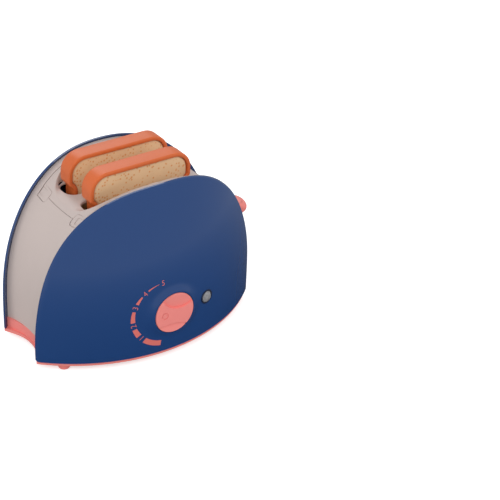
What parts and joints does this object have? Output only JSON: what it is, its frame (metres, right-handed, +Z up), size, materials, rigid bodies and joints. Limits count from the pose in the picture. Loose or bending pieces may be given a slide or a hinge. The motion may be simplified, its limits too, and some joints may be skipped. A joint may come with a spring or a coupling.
{
  "type": "toy toaster",
  "caption": "Pretend-play pop-up toaster with bulged arched panels, a push lever, a timer dial, a lamp and removable toast slices.",
  "frame": {"origin": "on the resting plane under the feet, below the middle of the whole toy's box, lever included", "axes": "+Z up, +X along the length towards the push lever, -Y towards the dial"},
  "size_m": [0.2236, 0.1438, 0.162],
  "materials": {
    "blue_shell": "glossy moulded ABS",
    "greige_shell": "satin moulded ABS",
    "coral_shell": "satin moulded ABS",
    "coral_feet": "soft matt",
    "coral_lever": "satin moulded ABS",
    "coral_knob": "satin moulded ABS",
    "scale_print": "pad-printed ink",
    "clear_lens": "clear faceted",
    "dark_bezel": "glossy",
    "led_body": "clear tinted",
    "circuit_board": "solder mask",
    "inner_plastic": "moulded",
    "gear_plastic": "natural acetal",
    "brass": "turned",
    "steel": "bright",
    "spring_steel": "drawn wire",
    "cell_wrap": "sleeve",
    "crust": "satin moulded",
    "bread": "speckled matt"
  },
  "bodies": {
    "case": {"front_panel": "blue_shell", "back_panel": "blue_shell", "body_shell": "greige_shell", "top_deck": "greige_shell", "base_tray": "coral_shell", "feet": "coral_feet", "guide_rods": "steel", "lift_springs": "spring_steel", "dial_scale": "scale_print", "lamp_lens": "clear_lens", "lamp_bezel": "dark_bezel", "led": "led_body", "lamp_board": "circuit_board", "escape_arbor": "steel", "pallet_arbor": "steel", "timer_front_plate": "steel", "timer_back_plate": "steel", "timer_posts": "brass", "timer_screws": "steel", "mainspring": "spring_steel", "catch_pin": "steel", "catch_spring": "spring_steel", "batteries": "cell_wrap", "battery_contacts": "spring_steel", "battery_door": "coral_shell", "battery_screw": "steel", "base_screws": "steel", "lamp_switch": "inner_plastic"},
    "carriage": {"toast_carriage": "inner_plastic", "carriage_bushes": "brass", "lever_arm": "steel", "lever_paddle": "coral_lever"},
    "front_toast": {"front_toast_crust": "crust", "front_toast_bread": "bread"},
    "back_toast": {"back_toast_crust": "crust", "back_toast_bread": "bread"},
    "dial": {"timer_knob": "coral_knob", "timer_shaft": "steel", "timer_gear": "gear_plastic", "release_cam": "gear_plastic"},
    "escape": {"escape_wheel": "brass"},
    "ticker": {"pallet": "steel"},
    "catch": {"catch_lever": "gear_plastic"}
  },
  "joints": [
    {"name": "lever_slide", "type": "slide", "parent": "case", "child": "carriage", "axis": [0, 0, -1], "range_m": [0, 0.04], "stiffness_N_per_m": 150, "springref_m": -0.02, "deforming": ["lift_springs"]},
    {"name": "front_toast_lift", "type": "slide", "parent": "carriage", "child": "front_toast", "axis": [0, 0, 1], "range_m": [0, 0.06]},
    {"name": "back_toast_lift", "type": "slide", "parent": "carriage", "child": "back_toast", "axis": [0, 0, 1], "range_m": [0, 0.06]},
    {"name": "dial_turn", "type": "hinge", "parent": "case", "child": "dial", "pos_m": [-0.0068, -0.059, 0.0445], "axis": [0, 1, 0], "range_deg": [-59, 78]},
    {"name": "escape_turn", "type": "hinge", "parent": "case", "child": "escape", "pos_m": [0.01055, -0.047, 0.05906], "axis": [0, 1, 0], "range_deg": [-314, 238]},
    {"name": "ticker_rock", "type": "hinge", "parent": "case", "child": "ticker", "pos_m": [0.01055, -0.051, 0.07406], "axis": [0, 1, 0], "range_deg": [-3, 3]},
    {"name": "catch_swing", "type": "hinge", "parent": "case", "child": "catch", "pos_m": [-0.0248, -0.0334, 0.066], "axis": [0, -1, 0], "range_deg": [0, 12], "stiffness_Nm_per_rad": 0.01, "springref_deg": -11.46, "deforming": ["catch_spring"]}
  ],
  "couplings": [
    {"joint": "escape_turn", "follows": "dial_turn", "ratio": -4}
  ]
}
